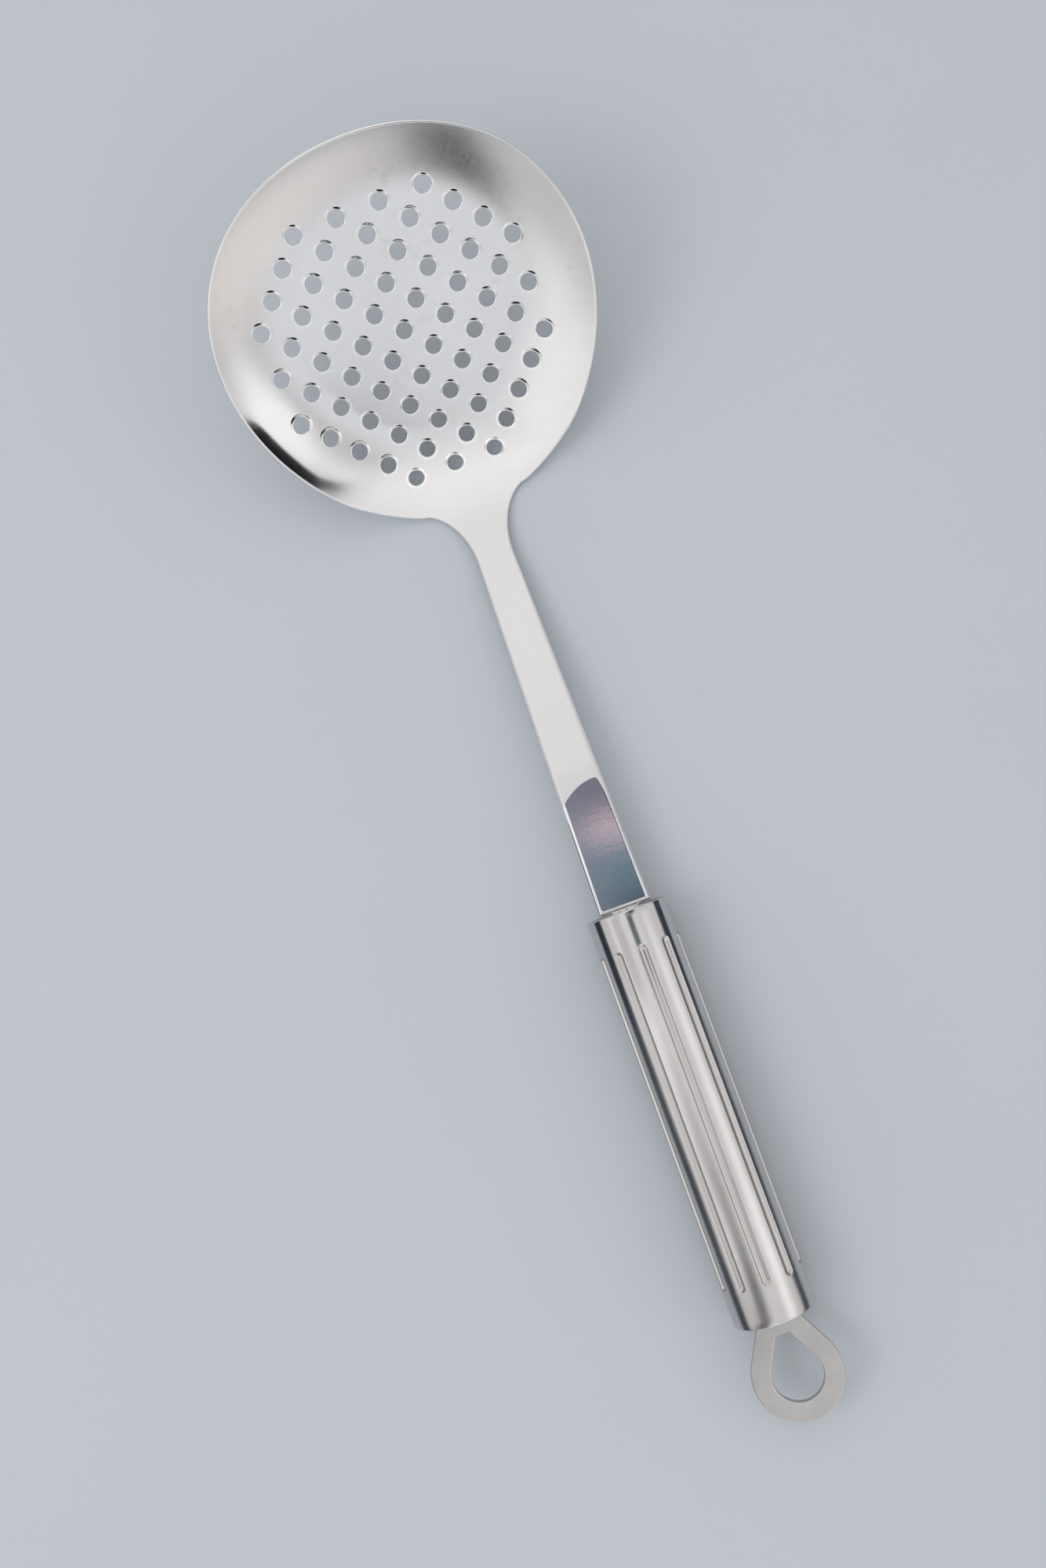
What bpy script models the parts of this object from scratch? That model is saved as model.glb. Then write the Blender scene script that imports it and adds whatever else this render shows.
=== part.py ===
"""Perforated skimmer ladle in stainless steel: a shallow round bowl with punched round holes,
pressed from one sheet with its flat shank, a fluted tubular handle, two end caps and a flat
hanging loop. Metres, +Z up, +X from the handle to the tip of the bowl, lying concave side up."""

import math

import bmesh
import bpy
from mathutils import Matrix, Vector

MM = 0.001

# Handle tube: the handle frame has its origin at the rear end, on the tube's axis
TUBE_RADIUS = 11.0 * MM
TUBE_LENGTH = 109.6 * MM
TUBE_WALL = 1.1 * MM
TUBE_EDGE = 0.5 * MM
FLUTE_COUNT = 10
FLUTE_WIDTH = 2.6 * MM
FLUTE_DEPTH = 0.7 * MM
FLUTE_START = 9.8 * MM
FLUTE_END = 100.1 * MM
FLUTE_TURN = math.radians(-4.7)
FLUTE_ROD = FLUTE_WIDTH**2 / (8.0 * FLUTE_DEPTH) + FLUTE_DEPTH / 2.0

# Perforated plate: its centre in the handle frame, and how far its tip is turned up
PLATE_X = 273.3 * MM
PLATE_Z = 15.35 * MM
PLATE_TILT = math.radians(37.25)

# Bowl outline, polar about a centre a little towards the tip
HEAD_RADIUS = 50.5 * MM
TIP_FLATTENING = 5.0 * MM
NECK_FULLNESS = 4.6 * MM
HEAD_SHIFT = 4.0 * MM
NECK_FILLET = 14.6 * MM
NECK_ANGLE = math.radians(161.0)

# Bowl depth: the plate is flat out to a share of the outline, then the wall curves up,
# lower at the tip and higher at the neck by a share of the depth
BOWL_DEPTH = 7.0 * MM
DEPTH_LEAN = 0.35
FLAT_SHARE = 0.55
WALL_POWER = 2.0
FADE_FROM = 20.0 * MM
FADE_TO = 46.0 * MM
TROUGH_IN = 7.5 * MM
TROUGH_OUT = 38.0 * MM

# Shank: one sheet with the bowl, thicker and wider towards the handle, then a tang in the tube
SHANK_DIP = math.radians(6.9)
SHANK_BEND_X = 148.5 * MM
NECK_HALF = 5.2 * MM
SHANK_HALF = 7.3 * MM
HEEL_BLEND = 4.0 * MM
BEND_BLEND = 2.0 * MM
SHOULDER_GAP = 0.4 * MM
SHOULDER_RUN = 0.4 * MM
TANG_HALF = 4.0 * MM
TANG_END_X = 85.0 * MM
BOWL_THICK = 1.2 * MM
SHANK_THICK = 2.4 * MM
TANG_THICK = 1.2 * MM

# Perforation: staggered rows from the tip to the neck
HOLES_PER_ROW = (4, 5, 6, 7, 6, 7, 6, 7, 6, 5, 4, 3)
MIDDLE_ROW = 5
ROW_STEP = 6.35 * MM
HOLE_STEP = 11.73 * MM
FIELD_OFFSET = 1.4 * MM
HOLE_RADIUS = 2.2 * MM
HOLE_SIDES = 14
PUNCH_BELOW = 3.0 * MM
PUNCH_ABOVE = 6.0 * MM

# End caps inside the tube
CAP_RADIUS = 9.6 * MM
CAP_THICK = 2.0 * MM
CAP_INSET = 0.2 * MM
FIT_GAP = 0.3 * MM
SLOT_LENGTH = 8.0 * MM

# Hanging loop: a flat plate with an eye, and a tang through the rear cap
LOOP_THICK = 2.0 * MM
LOOP_CENTRE_X = -16.2 * MM
LOOP_OUTER = 11.9 * MM
LOOP_EYE = 6.75 * MM
EYE_TOP_X = -5.4 * MM
EYE_TOP_HALF = 1.8 * MM
LOOP_TANG_HALF = 4.7 * MM
LOOP_TANG_X = 18.0 * MM

# Steel colour: blue is a little weaker than red and green
STEEL_BLUE = 0.98

# Mesh steps
TIP_ANGLE = math.radians(4.0)
HEAD_ROWS = 34
FILLET_ROWS = 7
BLEND_ROWS = 5
COLUMNS = 18
CAP_SIDES = 40
TUBE_SIDES = 60
FLUTE_SIDES = 16
FLUTE_STEPS = 4
LOOP_STEPS = 40
POLE_MERGE = 0.01 * MM


def smoothstep(low, high, value):
    share = min(1.0, max(0.0, (value - low) / (high - low)))
    return share * share * (3.0 - 2.0 * share)


def blended_corner(distance, blend):
    """0 before a corner and the distance past it, joined by a parabola."""
    if distance <= -blend:
        return 0.0
    if distance >= blend:
        return distance
    return (distance + blend) ** 2 / (4.0 * blend)


def back_of(x, z):
    """Place along the plate, from its centre towards the handle, of a point in the handle frame."""
    return (PLATE_X - x) * math.cos(PLATE_TILT) + (PLATE_Z - z) * math.sin(PLATE_TILT)


DIP = math.tan(SHANK_DIP)
HANDLE_SLOPE = math.tan(PLATE_TILT)
SHANK_SLOPE = math.tan(PLATE_TILT + SHANK_DIP)
CORNER_X = (DIP * SHANK_BEND_X + HANDLE_SLOPE * PLATE_X - PLATE_Z) / (DIP + HANDLE_SLOPE)
CORNER_BACK = back_of(CORNER_X, -DIP * (CORNER_X - SHANK_BEND_X))
BEND_BACK = back_of(SHANK_BEND_X, 0.0)
SHOULDER_BACK = back_of(TUBE_LENGTH + SHOULDER_GAP, 0.0)
TANG_BACK = back_of(TANG_END_X, 0.0)


def head_radius(angle):
    """Radius of the bowl outline, angle 0 at the tip and pi at the neck."""
    along = math.cos(angle)
    return HEAD_RADIUS - TIP_FLATTENING * max(0.0, along) ** 3 + NECK_FULLNESS * max(0.0, -along) ** 4


NECK_RADIUS = head_radius(NECK_ANGLE)
FILLET_REACH = math.sqrt((NECK_RADIUS + NECK_FILLET) ** 2 - (NECK_HALF + NECK_FILLET) ** 2)
FILLET_BACK = FILLET_REACH - HEAD_SHIFT
FILLET_ANGLE = math.pi - math.atan2(NECK_HALF + NECK_FILLET, FILLET_REACH)


def shank_half(back):
    """Half width of the shank, growing evenly from the neck to the handle."""
    share = (back - FILLET_BACK) / (SHOULDER_BACK - FILLET_BACK)
    return NECK_HALF + (SHANK_HALF - NECK_HALF) * max(0.0, share)


def lift(back, across):
    """Height of the sheet above the plate: wall of the bowl, heel, shank and the bend before the handle."""
    slope_in = SHANK_SLOPE * blended_corner(back - CORNER_BACK, HEEL_BLEND)
    slope_out = (HANDLE_SLOPE - SHANK_SLOPE) * blended_corner(back - BEND_BACK, BEND_BLEND)
    radius = math.hypot(across, back + HEAD_SHIFT)
    outline = head_radius(math.atan2(abs(across), -(back + HEAD_SHIFT)))
    share = (radius / outline - FLAT_SHARE) / (1.0 - FLAT_SHARE)
    if share <= 0.0:
        wall = 0.0
    else:
        towards_neck = (back + HEAD_SHIFT) / radius
        wall = BOWL_DEPTH * (1.0 + DEPTH_LEAN * towards_neck) * share**WALL_POWER
    in_neck = smoothstep(FADE_FROM, FADE_TO, back)
    in_trough = 1.0 - smoothstep(TROUGH_IN, TROUGH_OUT, abs(across))
    return slope_in + slope_out + wall * (1.0 - in_neck * in_trough)


def stations():
    """Rows across the sheet from the tip to the end of the tang, as (back, half width)."""
    rows = []
    for i in range(HEAD_ROWS + 1):
        angle = TIP_ANGLE + (FILLET_ANGLE - TIP_ANGLE) * i / HEAD_ROWS
        radius = head_radius(angle)
        rows.append((-HEAD_SHIFT - radius * math.cos(angle), radius * math.sin(angle)))
    start = rows[-1][0]
    for i in range(1, FILLET_ROWS + 1):
        back = start + (FILLET_BACK - start) * i / FILLET_ROWS
        dip = math.sqrt(NECK_FILLET**2 - (FILLET_BACK - back) ** 2)
        rows.append((back, NECK_HALF + NECK_FILLET - dip))
    for i in range(BLEND_ROWS + 1):
        back = BEND_BACK + BEND_BLEND * (2.0 * i / BLEND_ROWS - 1.0)
        rows.append((back, shank_half(back)))
    rows.append((SHOULDER_BACK, SHANK_HALF))
    rows.append((SHOULDER_BACK + SHOULDER_RUN * math.cos(PLATE_TILT), TANG_HALF))
    rows.append((TANG_BACK, TANG_HALF))
    return rows


def thickness_at(back):
    """Sheet thickness: thin in the bowl, growing along the shank, thin again in the tang."""
    if back > SHOULDER_BACK + POLE_MERGE:
        return TANG_THICK
    return BOWL_THICK + (SHANK_THICK - BOWL_THICK) * smoothstep(CORNER_BACK, BEND_BACK, back)


def steel(name, grey, roughness):
    material = bpy.data.materials.new(name)
    material.use_nodes = True
    shader = material.node_tree.nodes["Principled BSDF"]
    shader.inputs["Base Color"].default_value = (grey, grey, grey * STEEL_BLUE, 1.0)
    shader.inputs["Metallic"].default_value = 1.0
    shader.inputs["Roughness"].default_value = roughness
    return material


def piece(name, data, material, parent, collection):
    made = bpy.data.objects.new(name, data)
    collection.objects.link(made)
    made.parent = parent
    data.materials.append(material)
    return made


def cutter(name, data, parent, collection):
    made = bpy.data.objects.new(name, data)
    collection.objects.link(made)
    made.parent = parent
    made.hide_render = True
    made.display_type = "WIRE"
    return made


def cut(target, tool):
    boolean = target.modifiers.new("cut_" + tool.name, "BOOLEAN")
    boolean.operation = "DIFFERENCE"
    boolean.solver = "EXACT"
    boolean.object = tool


def mesh_of(name, vertices, faces):
    mesh = bpy.data.meshes.new(name)
    mesh.from_pydata(vertices, [], faces)
    mesh.update()
    return mesh


def smooth(mesh):
    mesh.polygons.foreach_set("use_smooth", [True] * len(mesh.polygons))


def sheet_mesh():
    """The pressed sheet as an open surface in the plate's frame, u towards the tip, v across."""
    spread = [math.sin(math.pi * (j / COLUMNS - 0.5)) for j in range(COLUMNS + 1)]
    vertices = []
    for back, half in stations():
        for share in spread:
            vertices.append((-back, half * share, lift(back, half * share)))
    wide = COLUMNS + 1
    faces = []
    for first in range(0, len(vertices) - wide, wide):
        for j in range(first, first + COLUMNS):
            faces.append((j, j + 1, j + wide + 1, j + wide))
    return mesh_of("bowl_and_shank", vertices, faces)


def punch_mesh():
    """One cylinder for each hole, square to the plate."""
    shape = bmesh.new()
    for row, count in enumerate(HOLES_PER_ROW):
        back = (row - MIDDLE_ROW) * ROW_STEP
        for i in range(count):
            across = FIELD_OFFSET + (i - (count - 1) / 2.0) * HOLE_STEP
            middle = (PUNCH_ABOVE - PUNCH_BELOW) / 2.0
            bmesh.ops.create_cone(
                shape,
                cap_ends=True,
                segments=HOLE_SIDES,
                radius1=HOLE_RADIUS,
                radius2=HOLE_RADIUS,
                depth=PUNCH_ABOVE + PUNCH_BELOW,
                matrix=Matrix.Translation((-back, across, middle)),
            )
    mesh = bpy.data.meshes.new("punches")
    shape.to_mesh(mesh)
    shape.free()
    return mesh


def turned_mesh(name, profile, closed):
    """A profile in the XZ plane for a Screw about Z, given as (radius, height) from top to bottom."""
    vertices = [(radius, 0.0, height) for radius, height in profile]
    edges = [(i, i + 1) for i in range(len(vertices) - 1)]
    if closed:
        edges.append((len(vertices) - 1, 0))
    mesh = bpy.data.meshes.new(name)
    mesh.from_pydata(vertices, edges, [])
    return mesh


def turn(made, steps):
    screw = made.modifiers.new("turned", "SCREW")
    screw.steps = steps
    screw.render_steps = steps
    screw.use_merge_vertices = True
    screw.merge_threshold = POLE_MERGE
    screw.use_smooth_shade = True


def tube_profile():
    """Wall of the tube: rounded outer edges and a plain bore, its rear end at height 0."""
    bore = TUBE_RADIUS - TUBE_WALL
    eased = TUBE_EDGE * (1.0 - math.cos(math.pi / 4.0))
    rear = [(TUBE_RADIUS, TUBE_EDGE), (TUBE_RADIUS - eased, eased), (TUBE_RADIUS - TUBE_EDGE, 0.0)]
    front = [(radius, TUBE_LENGTH - height) for radius, height in reversed(rear)]
    return front + rear + [(bore, 0.0), (bore, TUBE_LENGTH)]


def flute_profile():
    """Round-ended rod that presses one flute, its middle at height 0."""
    half_run = (FLUTE_END - FLUTE_START - FLUTE_WIDTH) / 2.0
    top = []
    for i in range(FLUTE_STEPS + 1):
        angle = math.pi / 2.0 * i / FLUTE_STEPS
        top.append((FLUTE_ROD * math.sin(angle), half_run + FLUTE_ROD * math.cos(angle)))
    return top + [(radius, -height) for radius, height in reversed(top)]


def disc_mesh(name, x_from, x_to):
    shape = bmesh.new()
    place = Matrix.Translation(((x_from + x_to) / 2.0, 0.0, 0.0)) @ Matrix.Rotation(math.pi / 2.0, 4, "Y")
    bmesh.ops.create_cone(
        shape,
        cap_ends=True,
        segments=CAP_SIDES,
        radius1=CAP_RADIUS,
        radius2=CAP_RADIUS,
        depth=x_to - x_from,
        matrix=place,
    )
    mesh = bpy.data.meshes.new(name)
    shape.to_mesh(mesh)
    shape.free()
    return mesh


def slot_mesh(name, x_middle, half_width, thickness):
    shape = bmesh.new()
    size = Matrix.Diagonal((SLOT_LENGTH, 2.0 * half_width, thickness, 1.0))
    bmesh.ops.create_cube(shape, size=1.0, matrix=Matrix.Translation((x_middle, 0.0, 0.0)) @ size)
    mesh = bpy.data.meshes.new(name)
    shape.to_mesh(mesh)
    shape.free()
    return mesh


def closed_spline(curve, points):
    spline = curve.splines.new("POLY")
    spline.points.add(len(points) - 1)
    for point, (x, y) in zip(spline.points, points):
        point.co = (x, y, 0.0, 1.0)
    spline.use_cyclic_u = True


def arc(centre_x, radius, start, stop, steps):
    """Points of an arc about (centre_x, 0), angles from the -X direction."""
    points = []
    for i in range(steps + 1):
        angle = start + (stop - start) * i / steps
        points.append((centre_x - radius * math.cos(angle), radius * math.sin(angle)))
    return points


def tangent_angle(x, y, centre_x, radius):
    """Angle from -X where the line through (x, y) touches the circle about (centre_x, 0)."""
    away = Vector((x - centre_x, y))
    return math.pi - math.atan2(away.y, away.x) - math.acos(radius / away.length)


def loop_curve():
    """Flat outline of the hanging loop with its eye, thickened both ways."""
    curve = bpy.data.curves.new("hanging_loop", "CURVE")
    curve.dimensions = "2D"
    curve.fill_mode = "BOTH"
    curve.extrude = LOOP_THICK / 2.0
    outer = tangent_angle(0.0, LOOP_TANG_HALF, LOOP_CENTRE_X, LOOP_OUTER)
    points = [(LOOP_TANG_X, -LOOP_TANG_HALF), (0.0, -LOOP_TANG_HALF)]
    points += arc(LOOP_CENTRE_X, LOOP_OUTER, -outer, outer, LOOP_STEPS)
    points += [(0.0, LOOP_TANG_HALF), (LOOP_TANG_X, LOOP_TANG_HALF)]
    closed_spline(curve, points)
    eye = tangent_angle(EYE_TOP_X, EYE_TOP_HALF, LOOP_CENTRE_X, LOOP_EYE)
    points = arc(LOOP_CENTRE_X, LOOP_EYE, -eye, eye, LOOP_STEPS)
    points += [(EYE_TOP_X, EYE_TOP_HALF), (EYE_TOP_X, -EYE_TOP_HALF)]
    closed_spline(curve, points)
    return curve


def bottom_centre(objects):
    """Where the evaluated pieces' box has its bottom centre, in world places."""
    bpy.context.view_layer.update()
    graph = bpy.context.evaluated_depsgraph_get()
    places = []
    for made in objects:
        seen = made.evaluated_get(graph)
        mesh = seen.to_mesh()
        places += [seen.matrix_world @ vertex.co for vertex in mesh.vertices]
        seen.to_mesh_clear()
    low = [min(place[k] for place in places) for k in range(3)]
    high = [max(place[k] for place in places) for k in range(3)]
    return Vector(((low[0] + high[0]) / 2.0, (low[1] + high[1]) / 2.0, low[2]))


for old in list(bpy.data.objects):
    bpy.data.objects.remove(old, do_unlink=True)

pieces = bpy.data.collections.new("perforated_skimmer_ladle")
tools = bpy.data.collections.new("cutters")
bpy.context.scene.collection.children.link(pieces)
bpy.context.scene.collection.children.link(tools)
flutes = bpy.data.collections.new("flute_cutters")
tools.children.link(flutes)
tools.hide_render = True

frame = bpy.data.objects.new("skimmer_frame", None)
pieces.objects.link(frame)

satin_steel = steel("satin_steel", 0.72, 0.28)
handle_steel = steel("handle_steel", 0.70, 0.24)
cap_steel = steel("cap_steel", 0.66, 0.30)
loop_steel = steel("loop_steel", 0.62, 0.38)

# Bowl and shank, one pressed sheet, punched square to its flat plate
bowl = piece("bowl_and_shank", sheet_mesh(), satin_steel, frame, pieces)
bowl.location = (PLATE_X, 0.0, PLATE_Z)
bowl.rotation_euler = (0.0, -PLATE_TILT, 0.0)
smooth(bowl.data)
sheet = bowl.vertex_groups.new(name="thickness")
for vertex in bowl.data.vertices:
    sheet.add([vertex.index], thickness_at(-vertex.co.x) / SHANK_THICK, "REPLACE")
solid = bowl.modifiers.new("sheet", "SOLIDIFY")
solid.thickness = SHANK_THICK
solid.vertex_group = "thickness"
solid.offset = 0.0
solid.use_even_offset = True
punches = cutter("punches", punch_mesh(), frame, tools)
punches.location = bowl.location
punches.rotation_euler = bowl.rotation_euler
cut(bowl, punches)

# Handle tube, turned about its axis and laid along X, with its flutes pressed in
tube = piece("handle_tube", turned_mesh("handle_tube", tube_profile(), True), handle_steel, frame, pieces)
tube.rotation_euler = (0.0, math.pi / 2.0, 0.0)
turn(tube, TUBE_SIDES)
rod = turned_mesh("flute", flute_profile(), False)
for k in range(FLUTE_COUNT):
    angle = FLUTE_TURN + 2.0 * math.pi * k / FLUTE_COUNT
    reach = TUBE_RADIUS - FLUTE_DEPTH + FLUTE_ROD
    flute = cutter(f"flute_{k + 1}", rod, frame, flutes)
    flute.location = ((FLUTE_START + FLUTE_END) / 2.0, reach * math.sin(angle), reach * math.cos(angle))
    flute.rotation_euler = (0.0, math.pi / 2.0, 0.0)
    turn(flute, FLUTE_SIDES)
pressed = tube.modifiers.new("flutes", "BOOLEAN")
pressed.operation = "DIFFERENCE"
pressed.solver = "EXACT"
pressed.operand_type = "COLLECTION"
pressed.collection = flutes

# End caps, each slotted for the tang that passes through it
front = disc_mesh("front_cap", TUBE_LENGTH - CAP_INSET - CAP_THICK, TUBE_LENGTH - CAP_INSET)
front_cap = piece("front_cap", front, cap_steel, frame, pieces)
front_slot = slot_mesh("front_slot", TUBE_LENGTH, TANG_HALF + FIT_GAP, TANG_THICK + 2.0 * FIT_GAP)
cut(front_cap, cutter("front_slot", front_slot, frame, tools))

rear = disc_mesh("rear_cap", CAP_INSET, CAP_INSET + CAP_THICK)
rear_cap = piece("rear_cap", rear, cap_steel, frame, pieces)
rear_slot = slot_mesh("rear_slot", 0.0, LOOP_TANG_HALF + FIT_GAP, LOOP_THICK + 2.0 * FIT_GAP)
cut(rear_cap, cutter("rear_slot", rear_slot, frame, tools))

# Hanging loop
loop = piece("hanging_loop", loop_curve(), loop_steel, frame, pieces)

# The frame is moved so that the origin is the bottom centre of the whole
frame.location = -bottom_centre((bowl, tube, front_cap, rear_cap, loop))
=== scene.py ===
"""Looks of the perforated skimmer ladle: a pressed and punched satin sheet, a fluted handle tube with
its end caps and a flat hanging loop, on a pale floor under soft light. Metres, +Z up."""

import math

import bmesh
import bpy
import numpy as np
from mathutils import Matrix, Vector
from mathutils.geometry import delaunay_2d_cdt


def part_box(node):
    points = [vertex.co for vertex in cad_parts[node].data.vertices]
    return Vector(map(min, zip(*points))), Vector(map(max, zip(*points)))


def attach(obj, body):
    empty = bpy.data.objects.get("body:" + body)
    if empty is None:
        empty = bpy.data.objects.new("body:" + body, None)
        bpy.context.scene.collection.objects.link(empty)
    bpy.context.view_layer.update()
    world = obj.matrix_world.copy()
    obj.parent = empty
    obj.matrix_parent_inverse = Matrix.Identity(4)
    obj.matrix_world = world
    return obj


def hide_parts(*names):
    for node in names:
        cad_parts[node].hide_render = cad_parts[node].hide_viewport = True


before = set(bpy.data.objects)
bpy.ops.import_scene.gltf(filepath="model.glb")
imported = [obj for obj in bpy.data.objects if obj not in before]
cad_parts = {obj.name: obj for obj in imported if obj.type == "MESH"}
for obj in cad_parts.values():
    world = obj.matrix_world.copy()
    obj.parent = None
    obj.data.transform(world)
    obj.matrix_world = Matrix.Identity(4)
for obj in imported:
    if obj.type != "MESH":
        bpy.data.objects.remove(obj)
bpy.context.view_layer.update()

MM = 0.001

# Handle tube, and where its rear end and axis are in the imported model
TUBE_RADIUS = 11.0 * MM
TUBE_LENGTH = 109.6 * MM
TUBE_WALL = 1.1 * MM
TUBE_EDGE = 0.5 * MM
FLUTE_COUNT = 10
FLUTE_WIDTH = 2.6 * MM
FLUTE_DEPTH = 0.7 * MM
FLUTE_START = 9.8 * MM
FLUTE_END = 100.1 * MM
FLUTE_TURN = math.radians(-4.7)
TUBE_LOW, TUBE_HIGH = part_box("handle_tube")
HANDLE_PLACE = Vector(
    (TUBE_LOW.x, (TUBE_LOW.y + TUBE_HIGH.y) / 2.0, (TUBE_LOW.z + TUBE_HIGH.z) / 2.0)
)

# Perforated plate, in the handle's frame
PLATE_X = 273.3 * MM
PLATE_Z = 15.35 * MM
PLATE_TILT = math.radians(37.25)

# Bowl outline and depth
HEAD_RADIUS = 50.5 * MM
TIP_FLATTENING = 5.0 * MM
NECK_FULLNESS = 4.6 * MM
HEAD_SHIFT = 4.0 * MM
NECK_FILLET = 14.6 * MM
NECK_ANGLE = math.radians(161.0)
BOWL_DEPTH = 7.0 * MM
DEPTH_LEAN = 0.35
FLAT_SHARE = 0.55
WALL_POWER = 2.0
FADE_FROM = 20.0 * MM
FADE_TO = 46.0 * MM
TROUGH_IN = 7.5 * MM
TROUGH_OUT = 38.0 * MM

# Shank and tang
SHANK_DIP = math.radians(6.9)
SHANK_BEND_X = 148.5 * MM
NECK_HALF = 5.2 * MM
SHANK_HALF = 7.3 * MM
HEEL_BLEND = 4.0 * MM
BEND_BLEND = 1.2 * MM
SHOULDER_GAP = 0.4 * MM
SHOULDER_ROUND = 0.4 * MM
END_ROUND = 0.96 * MM
END_ROWS = (0.0, 0.25, 0.5, 0.65, 0.78, 0.866)
TANG_HALF = 4.0 * MM
TANG_END_X = 85.0 * MM
BOWL_THICK = 1.2 * MM
SHANK_THICK = 2.4 * MM
TANG_THICK = 1.2 * MM

# Perforation: staggered rows from the tip to the neck, each hole with a rolled lip
HOLES_PER_ROW = (4, 5, 6, 7, 6, 7, 6, 7, 6, 5, 4, 3)
MIDDLE_ROW = 5
ROW_STEP = 6.35 * MM
HOLE_STEP = 11.73 * MM
FIELD_OFFSET = 1.4 * MM
HOLE_RADIUS = 2.2 * MM
LIP_WIDTH = 0.95 * MM
LIP_ROUND = 0.15 * MM
LIP_BEAD = 0.24 * MM
BEAD_TURN = math.radians(-28.0)
LIP_SIDES = 36
LIP_STEPS = 16

# End caps and hanging loop
CAP_RADIUS = 9.6 * MM
CAP_THICK = 2.0 * MM
CAP_INSET = 0.2 * MM
CAP_EASE = 0.3 * MM
FIT_GAP = 0.12 * MM
LOOP_THICK = 2.0 * MM
LOOP_CENTRE_X = -16.2 * MM
LOOP_OUTER = 11.9 * MM
LOOP_EYE = 6.75 * MM
LOOP_EASE = 0.35 * MM
EYE_TOP_X = -5.4 * MM
EYE_TOP_HALF = 1.8 * MM
LOOP_TANG_HALF = 4.7 * MM
LOOP_TANG_X = 18.0 * MM

# Stage: the tones of the overhead card and where they change along it, in metres
FLOOR_CORNERS = [(-15.0, -15.0, 0.0), (15.0, -15.0, 0.0), (15.0, 15.0, 0.0), (-15.0, 15.0, 0.0)]
BOWL_MIDDLE = HANDLE_PLACE + Vector((PLATE_X, 0.0, PLATE_Z))
BOWL_TIP = Vector((0.155, -0.02, 0.045))
NIGHT = (0.03, 0.045, 0.06)
SLATE = (0.20, 0.28, 0.345)
ROSE = (0.73, 0.575, 0.625)
MAUVE = (0.215, 0.208, 0.265)
BANDS = ((-0.07, NIGHT), (0.0, SLATE), (0.016, SLATE), (0.022, ROSE), (0.034, ROSE), (0.052, MAUVE))
BAND_SIDE_TONE = (0.23, 0.265, 0.315)
BAND_SIDE = (0.012, 0.042)
WORLD_TONE = (1.0, 0.99, 0.985)
WORLD_LEVEL = 0.82
RIM_CARD_ROLL = math.radians(-39.3)
TIP_SHADE_ROLL = math.radians(9.0)
FEATHER = 0.75
SHEET_CELLS = 16

# Mesh steps, room round them, and points across half a flute and along its end as shares of half its width
SHEET_STEP = 1.3 * MM
RIM_ROOM = 0.7 * SHEET_STEP
HOLE_ROOM = 0.45 * SHEET_STEP
END_STEP = 0.4 * SHEET_STEP
END_ROOM = 0.12 * SHEET_STEP
RIM_STEPS = 8
EASE_STEPS = 5
FLUTE_SIDES = (0.0, 0.2, 0.4, 0.5, 0.58, 0.66, 0.73, 0.8, 0.86, 0.92, 0.97, 1.02, 1.15)
FLUTE_ENDS = (-0.25, 0.0, 0.04, 0.1, 0.18, 0.28, 0.4, 0.55, 0.75, 1.0, 1.3, 2.0)
WELD = 0.01 * MM


# ---------------- the pressed sheet's form


def smoothstep(low, high, value):
    share = np.clip((value - low) / (high - low), 0.0, 1.0)
    return share * share * (3.0 - 2.0 * share)


def blended_corner(distance, blend):
    """0 before a corner and the distance past it, joined by a parabola."""
    joined = (distance + blend) ** 2 / (4.0 * blend)
    return np.where(distance <= -blend, 0.0, np.where(distance >= blend, distance, joined))


def back_of(x, z):
    """Place along the plate, from its centre towards the handle, of a point in the handle's frame."""
    return (PLATE_X - x) * math.cos(PLATE_TILT) + (PLATE_Z - z) * math.sin(PLATE_TILT)


DIP = math.tan(SHANK_DIP)
HANDLE_SLOPE = math.tan(PLATE_TILT)
SHANK_SLOPE = math.tan(PLATE_TILT + SHANK_DIP)
CORNER_X = (DIP * SHANK_BEND_X + HANDLE_SLOPE * PLATE_X - PLATE_Z) / (DIP + HANDLE_SLOPE)
CORNER_BACK = back_of(CORNER_X, -DIP * (CORNER_X - SHANK_BEND_X))
BEND_BACK = back_of(SHANK_BEND_X, 0.0)
SHOULDER_BACK = back_of(TUBE_LENGTH + SHOULDER_GAP, 0.0)
TANG_BACK = back_of(TANG_END_X, 0.0)

# Finish of the sheet: tones, among them a painted sheen on the shank and heel, roughness, where the mirror
# polish before the handle begins, a rubbed spot by the rim, and how far the dull brushing and painted sheen of
# the heel reach
SATIN_TONES = ((0.60, 0.60, 0.605), (0.64, 0.64, 0.65))
STAIN_TONE = (0.50, 0.485, 0.475)
# Painted sheen: the shank's and heel's steel is made brighter than the bowl's to stand in for the light they
# catch
SHANK_PAINTED_SHEEN = (0.765, 0.76, 0.77)
HEEL_PAINTED_SHEEN = (0.93, 0.925, 0.93)
# Lighter tone of the rim edges, partly worn polish and partly a painted highlight, and of the hole lips, a
# painted highlight
EDGE_WEAR_AND_HIGHLIGHT_TONE = (0.86, 0.86, 0.87)
SATIN_ROUGH = 0.15
SHANK_ROUGH = 0.34
HEEL_ROUGH = 0.27
POLISH_BACK = BEND_BACK + 2.4 * MM
POLISH_SHIFT = 3.9 * MM
POLISH_CURVE = 36.0
POLISH_CORNER = 4.0e8
RUBBED_SPOT = (-20.0 * MM, 44.0 * MM, 0.0)
RUBBED_REACH = 24.0 * MM
HEEL_REACH = 16.0 * MM
BUMP_DISTANCE = 0.05 * MM


def head_radius(angle):
    """Radius of the bowl outline, angle 0 at the tip and pi at the neck."""
    along = np.cos(angle)
    return (
        HEAD_RADIUS
        - TIP_FLATTENING * np.maximum(0.0, along) ** 3
        + NECK_FULLNESS * np.maximum(0.0, -along) ** 4
    )


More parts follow.
